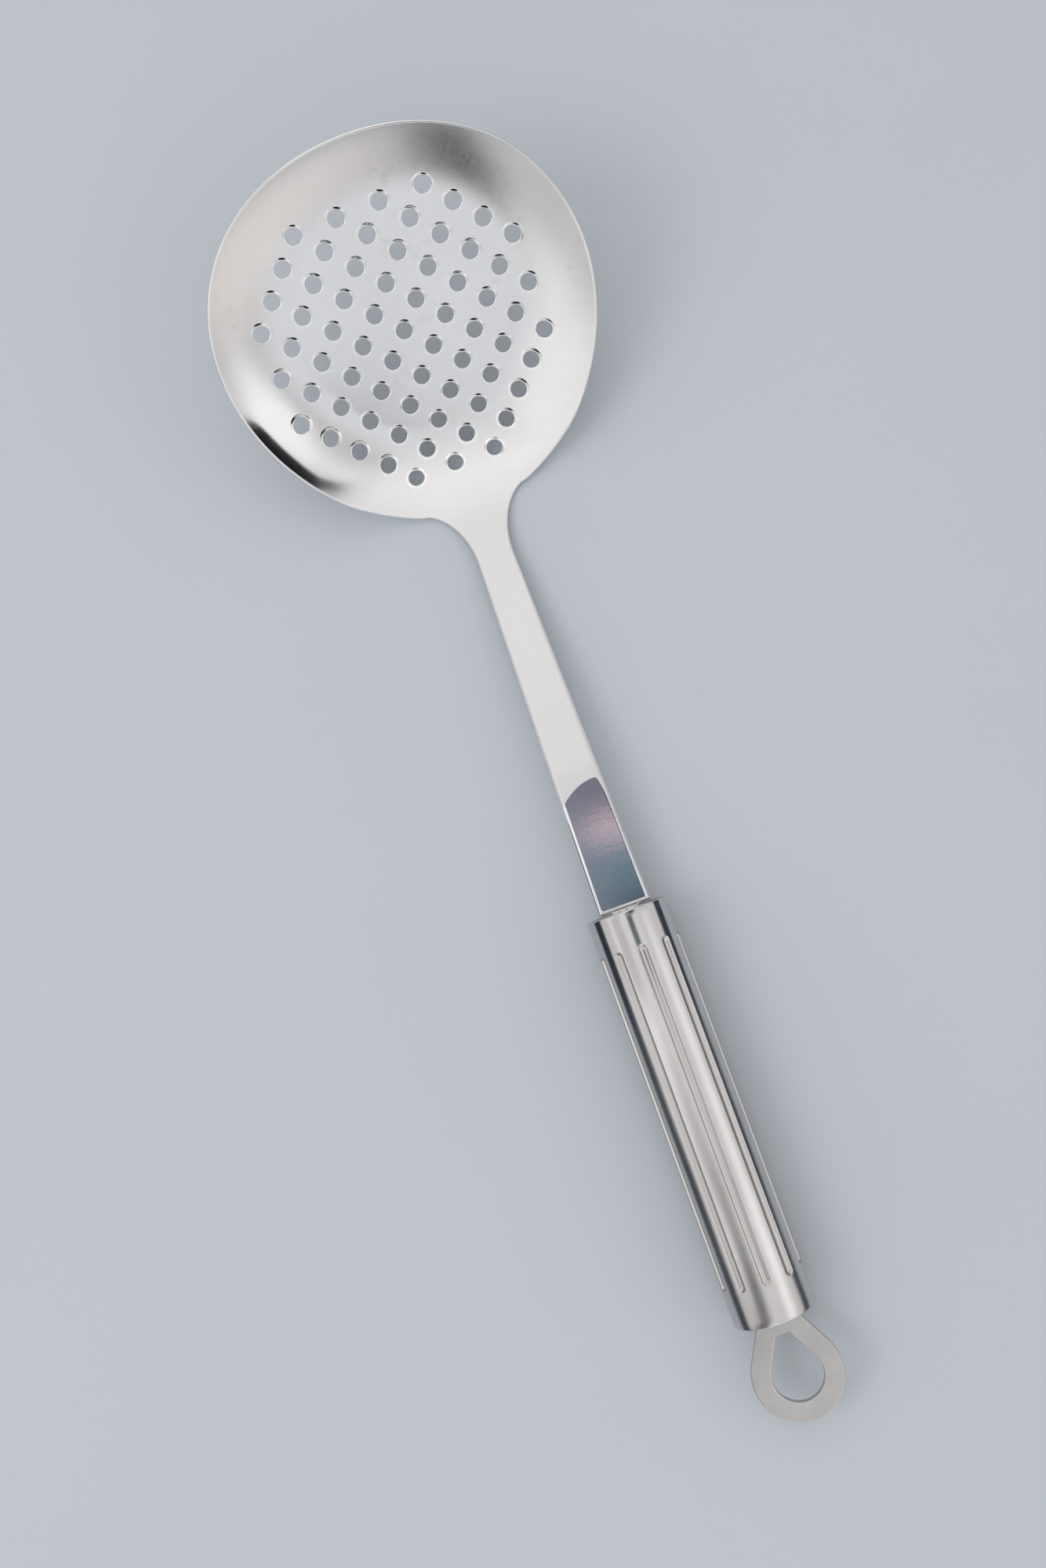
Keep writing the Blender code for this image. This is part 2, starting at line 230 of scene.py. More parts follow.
NECK_RADIUS = float(head_radius(NECK_ANGLE))
FILLET_REACH = math.sqrt((NECK_RADIUS + NECK_FILLET) ** 2 - (NECK_HALF + NECK_FILLET) ** 2)
FILLET_BACK = FILLET_REACH - HEAD_SHIFT
FILLET_ANGLE = math.pi - math.atan2(NECK_HALF + NECK_FILLET, FILLET_REACH)


def lift(back, across):
    """Height of the sheet above the plate: wall of the bowl, heel, shank and the bend before the handle."""
    slope_in = SHANK_SLOPE * blended_corner(back - CORNER_BACK, HEEL_BLEND)
    slope_out = (HANDLE_SLOPE - SHANK_SLOPE) * blended_corner(back - BEND_BACK, BEND_BLEND)
    radius = np.hypot(across, back + HEAD_SHIFT)
    outline = head_radius(np.arctan2(np.abs(across), -(back + HEAD_SHIFT)))
    share = (radius / outline - FLAT_SHARE) / (1.0 - FLAT_SHARE)
    towards_neck = (back + HEAD_SHIFT) / np.maximum(radius, WELD)
    wall = BOWL_DEPTH * (1.0 + DEPTH_LEAN * towards_neck) * np.maximum(0.0, share) ** WALL_POWER
    in_neck = smoothstep(FADE_FROM, FADE_TO, back)
    in_trough = 1.0 - smoothstep(TROUGH_IN, TROUGH_OUT, np.abs(across))
    return slope_in + slope_out + wall * (1.0 - in_neck * in_trough)


def slopes(back, across):
    step = 0.02 * MM
    along = (lift(back + step, across) - lift(back - step, across)) / (2.0 * step)
    sideways = (lift(back, across + step) - lift(back, across - step)) / (2.0 * step)
    return along, sideways


def thickness(back):
    """Sheet thickness as a multiple of the bowl's: growing along the shank, rounded off before the tang."""
    grown = 1.0 + (SHANK_THICK / BOWL_THICK - 1.0) * smoothstep(CORNER_BACK, BEND_BACK, back)
    past = np.clip((back - SHOULDER_BACK) / END_ROUND + 1.0, 0.0, 1.0)
    return np.maximum(grown * np.sqrt(1.0 - past**2), np.where(past > 0.0, TANG_THICK / BOWL_THICK, 0.0))


def pressed(u, v, depth):
    """Places and face normals of points of the flat blank after pressing: u towards the tip, v across."""
    along, sideways = slopes(-u, v)
    normals = np.stack([along, -sideways, np.ones_like(u)], axis=1)
    normals /= np.linalg.norm(normals, axis=1)[:, None]
    places = np.stack([u, v, lift(-u, v)], axis=1) + normals * (depth * thickness(-u))[:, None]
    turn = np.array(Matrix.Rotation(-PLATE_TILT, 3, "Y"))
    shift = np.array(HANDLE_PLACE) + np.array([PLATE_X, 0.0, PLATE_Z])
    return places @ turn.T + shift, normals @ turn.T


# ---------------- flat outlines


def pairs(x, y):
    """Rows of (x, y)."""
    return np.stack(np.broadcast_arrays(x, y), axis=1)


def half_outline():
    """The sheet's outline on the +v side, from the tip to the end of the tang, as rows of (u, v)."""
    angles = np.linspace(0.0, FILLET_ANGLE, 180)
    reach = head_radius(angles)
    rows = [pairs(HEAD_SHIFT + reach * np.cos(angles), reach * np.sin(angles))]
    start = -HEAD_SHIFT - reach[-1] * math.cos(FILLET_ANGLE)
    back = np.linspace(start, FILLET_BACK, 26)[1:]
    inner = NECK_HALF + NECK_FILLET - np.sqrt(NECK_FILLET**2 - (FILLET_BACK - back) ** 2)
    rows.append(pairs(-back, inner))
    back = np.linspace(FILLET_BACK, SHOULDER_BACK - END_ROUND, 110)[1:]
    last = SHOULDER_BACK - END_ROUND * np.array([0.8, 0.6, SHOULDER_ROUND / END_ROUND])
    back = np.concatenate([back, last])
    share = (back - FILLET_BACK) / (SHOULDER_BACK - FILLET_BACK)
    rows.append(pairs(-back, NECK_HALF + (SHANK_HALF - NECK_HALF) * share))
    turn = np.linspace(0.0, math.pi / 2.0, 5)[1:]
    corner = SHANK_HALF - SHOULDER_ROUND
    back = SHOULDER_BACK - SHOULDER_ROUND + SHOULDER_ROUND * np.sin(turn)
    rows.append(pairs(-back, corner + SHOULDER_ROUND * np.cos(turn)))
    rows.append(pairs(-SHOULDER_BACK, np.linspace(corner, TANG_HALF, 4)[1:]))
    rows.append(pairs(-np.linspace(SHOULDER_BACK, TANG_BACK, 12)[1:], TANG_HALF))
    return np.concatenate(rows)


def sheet_outline():
    """The whole outline, counter-clockwise from above."""
    side = half_outline()
    end = np.array([[side[-1, 0], v] for v in np.linspace(TANG_HALF, -TANG_HALF, 7)[1:-1]])
    other = side[:0:-1] * (1.0, -1.0)
    return np.concatenate([side, end, other])


def outward(loop):
    """Unit normals of a closed counter-clockwise outline."""
    along = np.roll(loop, -1, axis=0) - np.roll(loop, 1, axis=0)
    normals = np.stack([along[:, 1], -along[:, 0]], axis=1)
    return normals / np.linalg.norm(normals, axis=1)[:, None]


def inside(loop, points):
    """Which points lie inside a closed outline."""
    found = np.zeros(len(points), bool)
    for (ax, ay), (bx, by) in zip(loop, np.roll(loop, -1, axis=0)):
        if ay == by:
            continue
        crosses = (ay > points[:, 1]) != (by > points[:, 1])
        found ^= crosses & (points[:, 0] < ax + (points[:, 1] - ay) / (by - ay) * (bx - ax))
    return found


def clear_of(loop, points, distance):
    """Which points keep a distance from an outline's own points."""
    found = np.ones(len(points), bool)
    for x, y in loop:
        found &= (points[:, 0] - x) ** 2 + (points[:, 1] - y) ** 2 > distance**2
    return found


def hole_places():
    places = []
    for row, count in enumerate(HOLES_PER_ROW):
        u = -(row - MIDDLE_ROW) * ROW_STEP
        for i in range(count):
            places.append((u, FIELD_OFFSET + (i - (count - 1) / 2.0) * HOLE_STEP))
    return np.array(places)


def circle(centre, radius, sides):
    angles = 2.0 * math.pi * np.arange(sides) / sides
    return pairs(centre[0] + radius * np.cos(angles), centre[1] + radius * np.sin(angles))


def filled(loops, extra):
    """Triangles that fill the first outline and leave the others open, with extra points inside."""
    points = np.concatenate(loops + [extra])
    edges = []
    first = 0
    for loop in loops:
        edges += [(first + i, first + (i + 1) % len(loop)) for i in range(len(loop))]
        first += len(loop)
    spots, _, faces, *_ = delaunay_2d_cdt([Vector(p) for p in points], edges, [], 1, 1e-9)
    spots = np.array([tuple(p) for p in spots])
    faces = np.array(faces)
    middles = spots[faces].mean(axis=1)
    open_here = np.zeros(len(faces), bool)
    for loop in loops[1:]:
        open_here |= inside(loop, middles)
    faces = faces[~open_here]
    first, second = spots[faces[:, 1]] - spots[faces[:, 0]], spots[faces[:, 2]] - spots[faces[:, 0]]
    clockwise = first[:, 0] * second[:, 1] < first[:, 1] * second[:, 0]
    faces[clockwise] = faces[clockwise][:, ::-1]
    return spots, faces.tolist()


def plate(loops, insets, rows, half, extra):
    """Vertices and faces of a flat plate of half thickness half. rows gives the edge as (share of inset,
    height) from the top face to the bottom face. An outline without an inset gets no edge."""
    vertices, faces, tops = [], [], []
    for loop, inset in zip(loops, insets):
        if inset is None:
            tops.append(loop)
            continue
        normals = outward(loop)
        tops.append(loop - normals * inset[:, None])
        first, wide = len(vertices), len(loop)
        for share, height in rows:
            ring = loop - normals * (inset * share)[:, None]
            vertices += [(x, y, height) for x, y in ring]
        for k in range(len(rows) - 1):
            for i in range(wide):
                a, b = first + k * wide + i, first + k * wide + (i + 1) % wide
                faces.append((a, a + wide, b + wide, b))
    spots, triangles = filled(tops, extra)
    for height in (half, -half):
        first = len(vertices)
        vertices += [(x, y, height) for x, y in spots]
        for a, b, c in triangles:
            b, c = (b, c) if height > 0 else (c, b)
            faces.append((first + a, first + b, first + c))
    return vertices, faces


def plain_mesh(name, vertices, faces):
    mesh = bpy.data.meshes.new(name)
    mesh.from_pydata([tuple(map(float, v)) for v in vertices], [], faces)
    mesh.update()
    return mesh


# ---------------- node helpers


def add(tree, kind, inputs=None, **settings):
    """One node: settings are its properties, inputs its socket values or the sockets that feed it."""
    made = tree.nodes.new(kind)
    for key, value in settings.items():
        setattr(made, key, value)
    for key, value in (inputs or {}).items():
        if isinstance(value, bpy.types.NodeSocket):
            tree.links.new(value, made.inputs[key])
        else:
            made.inputs[key].default_value = value
    return made


def maths(tree, operation, *values):
    return add(tree, "ShaderNodeMath", dict(enumerate(values)), operation=operation).outputs[0]


def times(tree, first, second):
    return maths(tree, "MULTIPLY", first, second)


def separated(tree, vector):
    return add(tree, "ShaderNodeSeparateXYZ", {0: vector}).outputs


def combined(tree, x, y, z=0.0):
    return add(tree, "ShaderNodeCombineXYZ", {"X": x, "Y": y, "Z": z}).outputs[0]


def vector_maths(tree, operation, inputs, output=0):
    return add(tree, "ShaderNodeVectorMath", inputs, operation=operation).outputs[output]


def new_tree(name, sizes):
    """A Geometry Nodes tree with a geometry input, one named input for each size and a material input."""
    tree = bpy.data.node_groups.new(name, "GeometryNodeTree")
    tree.interface.new_socket("Geometry", in_out="INPUT", socket_type="NodeSocketGeometry")
    for size, value in sizes.items():
        kind = "NodeSocketInt" if isinstance(value, int) else "NodeSocketFloat"
        tree.interface.new_socket(size, in_out="INPUT", socket_type=kind)
    tree.interface.new_socket("Finish", in_out="INPUT", socket_type="NodeSocketMaterial")
    tree.interface.new_socket("Geometry", in_out="OUTPUT", socket_type="NodeSocketGeometry")
    return tree, tree.nodes.new("NodeGroupInput").outputs


def close_tree(tree, geometry, finish):
    """Ends a tree: real geometry, smooth, with its finish."""
    real = add(tree, "GeometryNodeRealizeInstances", {"Geometry": geometry}).outputs[0]
    even = add(tree, "GeometryNodeSetShadeSmooth", {"Geometry": real}).outputs[0]
    done = add(tree, "GeometryNodeSetMaterial", {"Geometry": even, "Material": finish}).outputs[0]
    tree.links.new(done, tree.nodes.new("NodeGroupOutput").inputs[0])


def shaped(mesh, tree, sizes, finish):
    """The plain mesh that a tree makes of a mesh."""
    values = {**sizes, "Finish": finish}
    carrier = bpy.data.objects.new(mesh.name, mesh)
    bpy.context.scene.collection.objects.link(carrier)
    modifier = carrier.modifiers.new(tree.name, "NODES")
    modifier.node_group = tree
    for item in tree.interface.items_tree:
        if item.in_out == "INPUT" and item.name in values:
            modifier[item.identifier] = values[item.name]
    graph = bpy.context.evaluated_depsgraph_get()
    made = bpy.data.meshes.new_from_object(carrier.evaluated_get(graph))
    carrier.modifiers.remove(modifier)
    bpy.data.objects.remove(carrier)
    bpy.data.meshes.remove(mesh)
    return made


# ---------------- Geometry Nodes trees


def lip_tree(sizes):
    """Sets a rolled lip into every hole of the flat blank, with a low bead on the side the punch leant to."""
    tree, given = new_tree("rolled_lips", sizes)
    wide = maths(tree, "ADD", given["Sides"], 1.0)
    tall = maths(tree, "ADD", given["Steps"], 1.0)
    strip = add(
        tree, "GeometryNodeMeshGrid", {"Size X": 1.0, "Size Y": 1.0, "Vertices X": wide, "Vertices Y": tall}
    )
    x, y, _ = separated(tree, add(tree, "GeometryNodeInputPosition").outputs[0])
    turn = times(tree, x, 2.0 * math.pi)
    side = times(tree, y, -2.0)
    far = times(tree, maths(tree, "ABSOLUTE", side), 2.0)
    roll = times(tree, maths(tree, "MINIMUM", far, 1.0), math.pi / 2.0)
    flank = maths(tree, "MAXIMUM", maths(tree, "SUBTRACT", far, 1.0), 0.0)
    upright = maths(tree, "SINE", roll)
    eased = maths(tree, "SUBTRACT", 1.0, maths(tree, "COSINE", roll))
    reach = maths(tree, "MULTIPLY_ADD", eased, given["Edge radius"], given["Hole radius"])
    level = maths(tree, "SUBTRACT", given["Lip width"], given["Edge radius"])
    reach = maths(tree, "MULTIPLY_ADD", flank, level, reach)
    straight = maths(tree, "SUBTRACT", given["Half thickness"], given["Edge radius"])
    height = maths(tree, "MULTIPLY_ADD", upright, given["Edge radius"], straight)
    falling = maths(tree, "COSINE", times(tree, flank, math.pi))
    falling = maths(tree, "MULTIPLY_ADD", falling, 0.5, 0.5)
    on_top = maths(tree, "GREATER_THAN", side, 0.0)
    swell = times(tree, times(tree, falling, upright), on_top)
    facing = maths(tree, "COSINE", maths(tree, "SUBTRACT", turn, given["Bead turn"]))
    facing = maths(tree, "MULTIPLY_ADD", facing, 0.5, 0.5)
    facing = times(tree, facing, facing)
    bead = times(tree, times(tree, swell, facing), given["Bead height"])
    ring = combined(
        tree,
        times(tree, reach, maths(tree, "COSINE", turn)),
        times(tree, reach, maths(tree, "SINE", turn)),
        maths(tree, "MULTIPLY_ADD", maths(tree, "SIGN", side), height, bead),
    )
    rolled = add(tree, "GeometryNodeSetPosition", {"Geometry": strip.outputs["Mesh"], "Position": ring})
    marked = add(tree, "GeometryNodeInputNamedAttribute", {"Name": "hole_place"}, data_type="BOOLEAN")
    parted = add(
        tree,
        "GeometryNodeSeparateGeometry",
        {"Geometry": given["Geometry"], "Selection": marked.outputs["Attribute"]},
        domain="POINT",
    )
    lips = add(
        tree,
        "GeometryNodeInstanceOnPoints",
        {"Points": parted.outputs["Selection"], "Instance": rolled.outputs[0]},
    )
    real = add(tree, "GeometryNodeRealizeInstances", {"Geometry": lips.outputs[0]})
    joined = add(tree, "GeometryNodeJoinGeometry")
    tree.links.new(parted.outputs["Inverted"], joined.inputs[0])
    tree.links.new(real.outputs[0], joined.inputs[0])
    welded = add(
        tree, "GeometryNodeMergeByDistance", {"Geometry": joined.outputs[0], "Distance": given["Weld"]}
    )
    close_tree(tree, welded.outputs[0], given["Finish"])
    return tree


def flute_tree(sizes):
    """Presses round-ended flutes into a plain tube that lies along X, and notes how deep each point went."""
    tree, given = new_tree("pressed_flutes", sizes)
    x, y, z = separated(tree, add(tree, "GeometryNodeInputPosition").outputs[0])
    half = maths(tree, "DIVIDE", given["Flute width"], 2.0)
    pitch = maths(tree, "DIVIDE", 2.0 * math.pi, given["Flutes"])
    angle = maths(tree, "SUBTRACT", maths(tree, "ARCTAN2", y, z), given["Turn"])
    count = maths(tree, "DIVIDE", angle, pitch)
    from_middle = maths(tree, "SUBTRACT", count, maths(tree, "ROUND", count))
    sideways = times(tree, times(tree, from_middle, pitch), given["Radius"])
    before = maths(tree, "SUBTRACT", maths(tree, "ADD", given["First end"], half), x)
    beyond = maths(tree, "SUBTRACT", x, maths(tree, "SUBTRACT", given["Last end"], half))
    past_end = maths(tree, "MAXIMUM", maths(tree, "MAXIMUM", before, beyond), 0.0)
    squares = maths(tree, "ADD", times(tree, sideways, sideways), times(tree, past_end, past_end))
    share = maths(tree, "DIVIDE", maths(tree, "SQRT", squares), half)
    walled = maths(tree, "MAXIMUM", maths(tree, "SUBTRACT", 1.0, maths(tree, "POWER", share, 4.0)), 0.0)
    hollow = times(tree, walled, walled)
    out = combined(tree, 0.0, y, z)
    away = vector_maths(tree, "LENGTH", {0: out}, "Value")
    unit = vector_maths(tree, "NORMALIZE", {0: out})
    skin = maths(tree, "SUBTRACT", given["Radius"], maths(tree, "DIVIDE", given["Wall"], 2.0))
    outside = maths(tree, "GREATER_THAN", away, skin)
    depth = times(tree, times(tree, hollow, given["Flute depth"]), -1.0)
    push = vector_maths(tree, "SCALE", {0: unit, "Scale": depth})
    noted = add(
        tree,
        "GeometryNodeStoreNamedAttribute",
        {"Geometry": given["Geometry"], "Name": "hollow", "Value": hollow},
        data_type="FLOAT",
        domain="POINT",
    )
    moved = add(
        tree,
        "GeometryNodeSetPosition",
        {"Geometry": noted.outputs[0], "Selection": outside, "Offset": push},
    )
    close_tree(tree, moved.outputs[0], given["Finish"])
    return tree


# ---------------- finishes


def new_material(name):
    material = bpy.data.materials.new(name)
    material.use_nodes = True
    return material, material.node_tree, material.node_tree.nodes["Principled BSDF"]


def new_finish(name):
    """A bare metal."""
    material, tree, shader = new_material(name)
    shader.inputs["Metallic"].default_value = 1.0
    return material, tree, shader


def object_place(tree):
    return add(tree, "ShaderNodeTexCoord").outputs["Object"]


def attribute(tree, name, output="Fac"):
    return add(tree, "ShaderNodeAttribute", attribute_name=name).outputs[output]


def noise(tree, vector, scale, detail=3.0, rough=0.55):
    return add(
        tree,
        "ShaderNodeTexNoise",
        {"Vector": vector, "Scale": scale, "Detail": detail, "Roughness": rough},
    ).outputs["Fac"]


def remap(tree, value, low, high, to_low, to_high, smooth=False):
    kind = "SMOOTHSTEP" if smooth else "LINEAR"
    return add(
        tree,
        "ShaderNodeMapRange",
        {"Value": value, "From Min": low, "From Max": high, "To Min": to_low, "To Max": to_high},
        interpolation_type=kind,
    ).outputs["Result"]


def stretched(tree, vector, scale):
    return vector_maths(tree, "MULTIPLY", {0: vector, 1: scale})


def mixed(tree, share, first, second):
    made = add(tree, "ShaderNodeMix", {"Factor": share}, data_type="RGBA")
    for index, colour in ((6, first), (7, second)):
        if isinstance(colour, bpy.types.NodeSocket):
            tree.links.new(colour, made.inputs[index])
        else:
            made.inputs[index].default_value = (*colour, 1.0)
    return made.outputs[2]


def mottled(tree, cloud, dark, pale):
    """A tone that drifts between two with a noise."""
    return mixed(tree, remap(tree, cloud, 0.35, 0.65, 0.0, 1.0), dark, pale)


def dress(tree, shader, tone, rough, height, strength):
    """Gives a metal its tone, roughness and bump."""
    tree.links.new(tone, shader.inputs["Base Color"])
    tree.links.new(rough, shader.inputs["Roughness"])
    bump = {"Height": height, "Strength": strength, "Distance": BUMP_DISTANCE}
    tree.links.new(add(tree, "ShaderNodeBump", bump).outputs[0], shader.inputs["Normal"])


def brushing(tree, flat, along, across):
    """Grain of the sheet: rings and spokes up the bowl's wall, lengthwise lines on the shank."""
    ahead = maths(tree, "SUBTRACT", along, HEAD_SHIFT)
    squares = maths(tree, "ADD", times(tree, ahead, ahead), times(tree, across, across))
    reach = maths(tree, "SQRT", squares)
    turn = maths(tree, "ARCTAN2", across, ahead)
    rings = combined(tree, times(tree, reach, 2600.0), times(tree, turn, 9.0))
    spokes = combined(tree, times(tree, turn, 210.0), times(tree, reach, 110.0))
    lines = noise(tree, stretched(tree, flat, (70.0, 3400.0, 0.0)), 1.0, 2.0)
    crossed = times(tree, noise(tree, spokes, 1.0, 2.0), 0.9)
    crossed = maths(tree, "MULTIPLY_ADD", noise(tree, rings, 1.0, 2.0), 0.5, crossed)
    on_wall = remap(tree, reach, 28.0 * MM, 46.0 * MM, 0.15, 1.0, True)
    on_bowl = times(tree, maths(tree, "SUBTRACT", crossed, 0.7), on_wall)
    on_shank = maths(tree, "SUBTRACT", lines, 0.5)
    share = remap(tree, along, -46.0 * MM, -62.0 * MM, 0.0, 1.0, True)
    return add(tree, "ShaderNodeMix", {0: share, 2: on_bowl, 3: on_shank}, data_type="FLOAT").outputs[0]


def behind_border(tree, back, across):
    """How far a place is past the border of the mirror polish: a shallow bow with one tight corner."""
    aside = maths(tree, "ADD", across, POLISH_SHIFT)
    wide_side = maths(tree, "POWER", maths(tree, "MAXIMUM", aside, 0.0), 2.0)
    corner_side = maths(tree, "POWER", maths(tree, "MINIMUM", aside, 0.0), 4.0)
    border = maths(tree, "MULTIPLY_ADD", wide_side, POLISH_CURVE, POLISH_BACK)
    border = maths(tree, "MULTIPLY_ADD", corner_side, POLISH_CORNER, border)
    return maths(tree, "SUBTRACT", back, border)


def satin_steel():
    """Bowl and shank: brushed satin sheet with lips lightened by a painted highlight and edges by wear and a
    painted highlight, a painted sheen on the shank and heel, mirror polished before the handle.
    """
    material, tree, shader = new_finish("satin_steel")
    flat = attribute(tree, "flat_place", "Vector")
    from_hole = attribute(tree, "from_hole")
    along, across, _ = separated(tree, flat)
    back = times(tree, along, -1.0)
    from_heel = maths(tree, "ABSOLUTE", maths(tree, "SUBTRACT", back, CORNER_BACK))
    on_shank = remap(tree, along, -18.0 * MM, -54.0 * MM, 0.0, 1.0, True)
    on_heel = remap(tree, from_heel, 4.0 * MM, HEEL_REACH, 1.0, 0.0, True)
    grain = brushing(tree, flat, along, across)
    cloud = noise(tree, flat, 38.0, 4.0)
    stain = remap(tree, noise(tree, flat, 75.0, 5.0, 0.65), 0.56, 0.70, 0.0, 0.35, True)
    # Painted highlight on the hole lips; on the rim edges, worn polish and a painted highlight
    lip = remap(tree, from_hole, 0.10, 0.26, 1.0, 0.0, True)
    bright = maths(tree, "MAXIMUM", times(tree, attribute(tree, "edge"), 0.6), lip)
    tone = mixed(tree, stain, mottled(tree, cloud, *SATIN_TONES), STAIN_TONE)
    # Painted sheen: a brighter tone along the shank, brighter still on the heel
    tone = mixed(tree, on_heel, mixed(tree, on_shank, tone, SHANK_PAINTED_SHEEN), HEEL_PAINTED_SHEEN)
    tone = mixed(tree, bright, tone, EDGE_WEAR_AND_HIGHLIGHT_TONE)
    behind = behind_border(tree, back, across)
    polished = remap(tree, behind, -0.25 * MM, 0.25 * MM, 1.0, 0.10, True)
    from_spot = vector_maths(tree, "DISTANCE", {0: flat, 1: RUBBED_SPOT}, "Value")
    rubbed = remap(tree, from_spot, 0.4 * RUBBED_REACH, RUBBED_REACH, 0.4, 1.0, True)
    collar = remap(tree, from_hole, 0.7, 1.1, 0.4, 1.0, True)
    rough = maths(tree, "MULTIPLY_ADD", cloud, 0.06, SATIN_ROUGH)
    rough = maths(tree, "MULTIPLY_ADD", on_shank, SHANK_ROUGH, rough)
    rough = maths(tree, "MULTIPLY_ADD", grain, 0.10, rough)
    rough = maths(tree, "MULTIPLY_ADD", on_heel, HEEL_ROUGH, rough)
    rough = times(tree, times(tree, rough, polished), times(tree, rubbed, collar))
    smear = noise(tree, stretched(tree, flat, (900.0, 150.0, 0.0)), 1.0, 5.0, 0.75)
    smear = times(tree, smear, remap(tree, behind, -0.25 * MM, 0.25 * MM, 0.0, 3.2))
    speck = noise(tree, flat, 900.0, 2.0)
    height = maths(tree, "ADD", maths(tree, "MULTIPLY_ADD", speck, 0.15, grain), smear)
    dress(tree, shader, tone, rough, height, 0.05)
    return material


def fluted_steel():
    """Handle tube: satin with lengthwise grain, smoother towards the front, darker down in the flutes."""
    material, tree, shader = new_finish("handle_steel")
    place = object_place(tree)
    grain = noise(tree, stretched(tree, place, (40.0, 2200.0, 2200.0)), 1.0, 2.0)
    cloud = noise(tree, place, 45.0, 4.0)
    tone = mottled(tree, cloud, (0.58, 0.565, 0.56), (0.63, 0.62, 0.615))
    # Tone darker down in the flutes, more so where the cloud noise is high
    flute_darkening = times(tree, attribute(tree, "hollow"), remap(tree, cloud, 0.3, 0.7, 0.25, 0.6))
    tone = mixed(tree, flute_darkening, tone, (0.50, 0.48, 0.46))
    along = separated(tree, place)["X"]
    front = HANDLE_PLACE.x + TUBE_LENGTH
    satin = remap(tree, along, front - 45.0 * MM, front - 12.0 * MM, 0.21, 0.12, True)
    rough = maths(tree, "MULTIPLY_ADD", cloud, 0.06, satin)
    rough = maths(tree, "MULTIPLY_ADD", maths(tree, "SUBTRACT", grain, 0.5), 0.10, rough)
    dress(tree, shader, tone, rough, grain, 0.025)
    return material


def turned_steel():
    """End caps: faced discs with rings left by the cutting tool."""
    material, tree, shader = new_finish("cap_steel")
    place = object_place(tree)
    centred = add(tree, "ShaderNodeMapping", {"Vector": place, "Location": -HANDLE_PLACE})
    flat = stretched(tree, centred.outputs[0], (0.0, 1.0, 1.0))
    reach = vector_maths(tree, "LENGTH", {0: flat}, "Value")
    rings = noise(tree, combined(tree, reach, 0.0), 2500.0, 2.0)
    tone = mottled(tree, noise(tree, place, 120.0, 3.0), (0.56, 0.55, 0.54), (0.66, 0.65, 0.64))
    dress(tree, shader, tone, maths(tree, "MULTIPLY_ADD", rings, 0.12, 0.22), rings, 0.12)
    return material


def matt_steel():
    """Hanging loop: flat stock with a fine tumbled grain and worn edges."""
    material, tree, shader = new_finish("loop_steel")
    place = object_place(tree)
    speck = noise(tree, place, 2600.0, 2.0)
    tone = mottled(tree, noise(tree, place, 90.0, 4.0), (0.455, 0.445, 0.44), (0.515, 0.505, 0.50))
    tone = mixed(tree, times(tree, attribute(tree, "edge"), 0.5), tone, (0.70, 0.69, 0.68))
    dress(tree, shader, tone, maths(tree, "MULTIPLY_ADD", speck, 0.16, 0.30), speck, 0.10)
    return material


def matt_paint(name, dark, pale, scale, detail, rough):
    """Matt paint that drifts between two tones."""
    material, tree, shader = new_material(name)
    tone = mixed(tree, noise(tree, object_place(tree), scale, detail), dark, pale)
    tree.links.new(tone, shader.inputs["Base Color"])
    shader.inputs["Roughness"].default_value = rough
    shader.inputs["Specular IOR Level"].default_value = 0.1
    return material


def replace_surface(tree, plain, shader):
    """Makes a shader the material's surface in place of the plain one."""
    tree.nodes.remove(plain)
    tree.links.new(shader.outputs[0], tree.nodes["Material Output"].inputs["Surface"])


def floor_paint():
    """Pale matt floor with a hardly visible mottling."""
    return matt_paint("pale_floor", (0.445, 0.48, 0.52), (0.47, 0.505, 0.545), 6.0, 4.0, 0.9)


def card_paint(name, colour):
    """Matt card with a little fibre in its tone."""
    return matt_paint(name, tuple(0.9 * c for c in colour), colour, 40.0, 3.0, 0.95)


def glow_paint(name, colour, radiance):
    """Light sheet as bright as its fade says. What lies behind it shows through."""
    material, tree, shader = new_material(name)
    strength = times(tree, attribute(tree, "fade"), radiance)
    glow = add(tree, "ShaderNodeEmission", {"Color": (*colour, 1.0), "Strength": strength})
    clear = add(tree, "ShaderNodeBsdfTransparent")
    both = add(tree, "ShaderNodeAddShader", {0: glow.outputs[0], 1: clear.outputs[0]})
    replace_surface(tree, shader, both)
    return material


def shade_paint(name, depth):
    """Dark sheet as dense as its fade says."""
    material, tree, shader = new_material(name)
    shader.inputs["Base Color"].default_value = (0.03, 0.03, 0.035, 1.0)
    shader.inputs["Roughness"].default_value = 0.95
    share = times(tree, attribute(tree, "fade"), depth)
    clear = add(tree, "ShaderNodeBsdfTransparent")
    both = add(tree, "ShaderNodeMixShader", {0: share, 1: clear.outputs[0], 2: shader.outputs[0]})
    tree.links.new(both.outputs[0], tree.nodes["Material Output"].inputs["Surface"])
    return material


